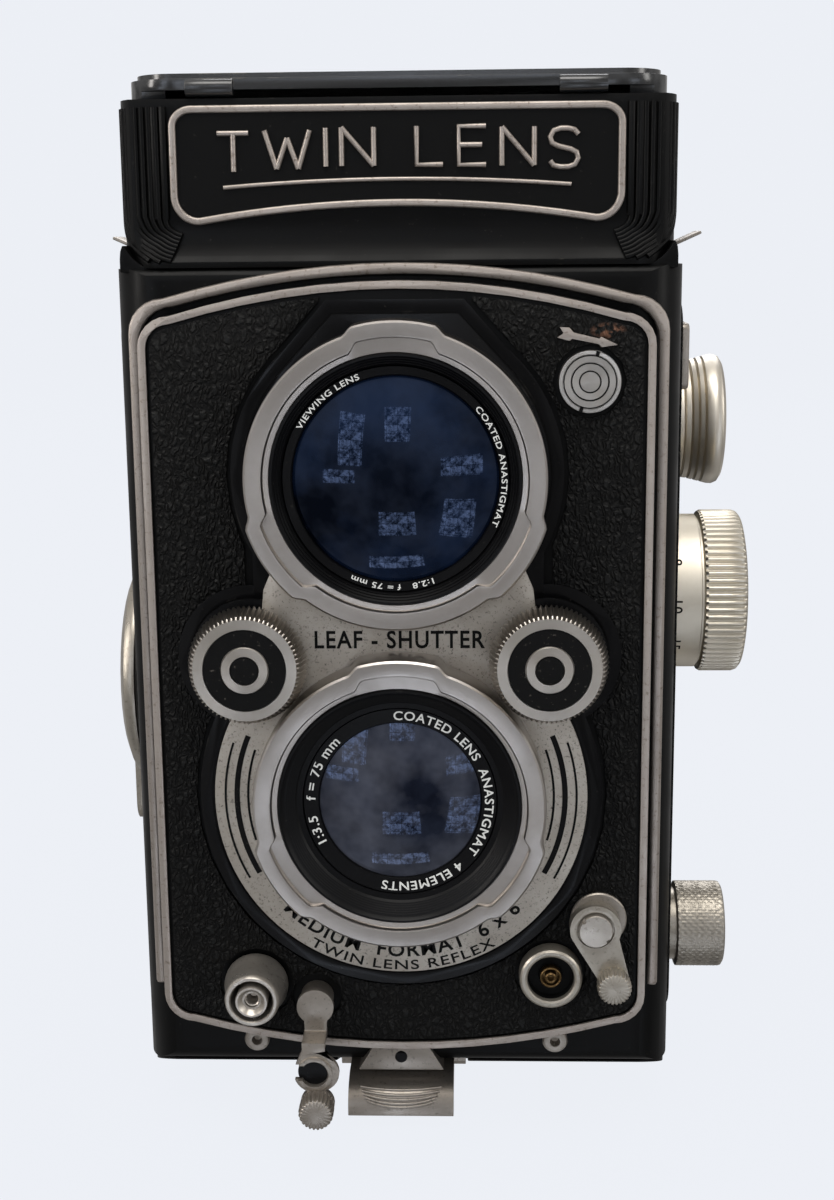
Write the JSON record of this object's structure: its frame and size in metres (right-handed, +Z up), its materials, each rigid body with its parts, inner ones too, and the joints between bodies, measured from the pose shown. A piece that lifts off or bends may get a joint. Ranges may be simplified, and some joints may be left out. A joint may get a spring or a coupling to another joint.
{
  "type": "twin lens reflex camera",
  "caption": "Medium-format twin lens reflex camera with folding waist-level hood, focusing front standard, winding crank and hinged film back.",
  "frame": {"origin": "on the pad the camera rests on, at the middle of the underside between the feet and in the middle plane of the two lenses", "axes": "+Z up, the lenses look along -Y, +X is the right-hand side as seen by someone facing the lenses"},
  "size_m": [0.0907, 0.0955, 0.1412],
  "materials": {
    "black_enamel": "black enamel over cast alloy, semi-gloss, worn at the edges",
    "black_gloss": "glossy black enamel on pressed sheet",
    "black_sheet": "matt black lacquer on thin sheet",
    "leather": "black pebbled leather with upright wrinkles",
    "trim_silver": "warm grey bare metal line, lightly worn",
    "satin_aluminium": "satin speckled aluminium",
    "chrome": "polished chrome",
    "nickel": "satin warm nickel plate on light alloy",
    "lens_glass": "blue coated optical glass",
    "screen_glass": "ground glass",
    "mirror": "front-silvered mirror"
  },
  "bodies": {
    "camera": {"body_casting": "black_enamel", "film_chamber": "black_enamel", "body_trim": "trim_silver", "side_leather_left": "leather", "side_leather_right": "leather", "strap_lug_left": "nickel", "strap_lug_right": "nickel", "crank_housing": "black_enamel", "index_bracket": "black_enamel", "viewing_mirror": "mirror", "focusing_screen": "screen_glass", "catch_plate": "nickel", "case_stud_left": "chrome", "case_stud_right": "chrome", "hood_base": "black_enamel", "nameplate_frame": "trim_silver", "nameplate_panel": "black_enamel"},
    "front_standard": {"front_plate": "black_enamel", "plate_trim": "trim_silver", "front_leather": "leather", "lens_platform": "black_enamel", "shutter_shield": "satin_aluminium", "taking_bezel": "chrome", "taking_barrel": "black_enamel", "taking_glass": "lens_glass", "viewing_bezel": "chrome", "viewing_barrel": "black_enamel", "viewing_glass": "lens_glass", "slotted_cap": "satin_aluminium", "arrow_plate": "trim_silver", "release_sleeve": "chrome", "sync_socket": "chrome", "sync_pin": "nickel", "sync_lever_screw": "nickel"},
    "aperture_wheel": {"aperture_wheel": "nickel", "aperture_wheel_cap": "satin_aluminium"},
    "speed_wheel": {"speed_wheel": "nickel", "speed_wheel_cap": "satin_aluminium"},
    "release_button": {"release_button": "nickel"},
    "release_guard": {"release_guard": "nickel"},
    "sync_lever": {"sync_lever": "nickel"},
    "focus_knob": {"focus_knob": "nickel"},
    "upper_spool_knob": {"upper_spool_knob": "nickel"},
    "lower_spool_knob": {"lower_spool_knob": "nickel"},
    "crank": {"crank_arm": "nickel"},
    "crank_handle": {"crank_handle": "nickel"},
    "take_up_spool": {"take_up_spool": "black_sheet"},
    "roller_lower": {"film_roller_lower": "chrome"},
    "roller_upper": {"film_roller_upper": "chrome"},
    "back": {"back_door": "black_enamel", "back_leather": "leather", "pressure_plate": "black_sheet", "exposure_table": "satin_aluminium", "tripod_bush": "nickel"},
    "door_latch": {"door_latch": "nickel"},
    "hood_lid": {"hood_lid": "black_gloss"},
    "hood_rear_flap": {"hood_rear_flap": "black_sheet"},
    "hood_left_flap": {"hood_left_flap": "black_sheet"},
    "hood_right_flap": {"hood_right_flap": "black_sheet"}
  },
  "joints": [
    {"name": "focus_knob_turn", "type": "hinge", "parent": "camera", "child": "focus_knob", "pos_m": [0.04, -0.004, 0.0696], "axis": [1, 0, 0], "range_deg": [0, 330]},
    {"name": "front_standard_slide", "type": "slide", "parent": "camera", "child": "front_standard", "axis": [0, -1, 0], "range_m": [0, 0.0055]},
    {"name": "aperture_wheel_turn", "type": "hinge", "parent": "front_standard", "child": "aperture_wheel", "pos_m": [-0.01895, -0.043, 0.06815], "axis": [0, -1, 0], "range_deg": [-200, 0]},
    {"name": "speed_wheel_turn", "type": "hinge", "parent": "front_standard", "child": "speed_wheel", "pos_m": [0.01895, -0.043, 0.06815], "axis": [0, -1, 0], "range_deg": [0, 240]},
    {"name": "shutter_release_press", "type": "slide", "parent": "front_standard", "child": "release_button", "axis": [0, 1, 0], "range_m": [0, 0.0022], "stiffness_N_per_m": 400},
    {"name": "release_guard_swing", "type": "hinge", "parent": "front_standard", "child": "release_guard", "pos_m": [-0.0116, -0.04, 0.021], "axis": [0, 1, 0], "range_deg": [0, 100]},
    {"name": "sync_lever_swing", "type": "hinge", "parent": "front_standard", "child": "sync_lever", "pos_m": [0.0254, -0.04, 0.0316], "axis": [0, -1, 0], "range_deg": [-8, 20]},
    {"name": "upper_spool_knob_pull", "type": "slide", "parent": "camera", "child": "upper_spool_knob", "axis": [1, 0, 0], "range_m": [0, 0.006]},
    {"name": "lower_spool_knob_pull", "type": "slide", "parent": "camera", "child": "lower_spool_knob", "axis": [1, 0, 0], "range_m": [0, 0.006]},
    {"name": "crank_turn", "type": "hinge", "parent": "camera", "child": "crank", "pos_m": [-0.04, -0.004, 0.0583], "axis": [-1, 0, 0], "range_deg": [-160, 360]},
    {"name": "crank_handle_spin", "type": "hinge", "parent": "crank", "child": "crank_handle", "pos_m": [-0.039, -0.004, 0.0379], "axis": [-1, 0, 0], "continuous": true},
    {"name": "take_up_spool_turn", "type": "hinge", "parent": "camera", "child": "take_up_spool", "pos_m": [0, 0.022, 0.092], "axis": [-1, 0, 0], "range_deg": [-160, 360]},
    {"name": "roller_lower_spin", "type": "hinge", "parent": "camera", "child": "roller_lower", "pos_m": [0, 0.0336, 0.0154], "axis": [1, 0, 0], "continuous": true},
    {"name": "roller_upper_spin", "type": "hinge", "parent": "camera", "child": "roller_upper", "pos_m": [0, 0.0336, 0.0816], "axis": [1, 0, 0], "continuous": true},
    {"name": "back_open", "type": "hinge", "parent": "camera", "child": "back", "pos_m": [0, 0.0437, 0.1154], "axis": [1, 0, 0], "range_deg": [0, 110]},
    {"name": "door_latch_tilt", "type": "hinge", "parent": "back", "child": "door_latch", "pos_m": [-0.0007, -0.0236, 0.0054], "axis": [1, 0, 0], "range_deg": [0, 45]},
    {"name": "hood_lid_open", "type": "hinge", "parent": "camera", "child": "hood_lid", "pos_m": [0, -0.0284, 0.1393], "axis": [1, 0, 0], "range_deg": [0, 90]},
    {"name": "hood_rear_flap_fold", "type": "hinge", "parent": "camera", "child": "hood_rear_flap", "pos_m": [0, 0.0356, 0.1354], "axis": [-1, 0, 0], "range_deg": [0, 90]},
    {"name": "hood_left_flap_fold", "type": "hinge", "parent": "camera", "child": "hood_left_flap", "pos_m": [-0.0302, 0, 0.1332], "axis": [0, -1, 0], "range_deg": [0, 90]},
    {"name": "hood_right_flap_fold", "type": "hinge", "parent": "camera", "child": "hood_right_flap", "pos_m": [0.0302, 0, 0.1332], "axis": [0, 1, 0], "range_deg": [0, 90]}
  ],
  "couplings": [
    {"joint": "focus_knob_turn", "follows": "front_standard_slide", "rad_per_m": 1047.2},
    {"joint": "take_up_spool_turn", "follows": "crank_turn", "ratio": 1},
    {"joint": "hood_rear_flap_fold", "follows": "hood_lid_open", "ratio": 1},
    {"joint": "hood_left_flap_fold", "follows": "hood_lid_open", "ratio": 1},
    {"joint": "hood_right_flap_fold", "follows": "hood_lid_open", "ratio": 1}
  ]
}
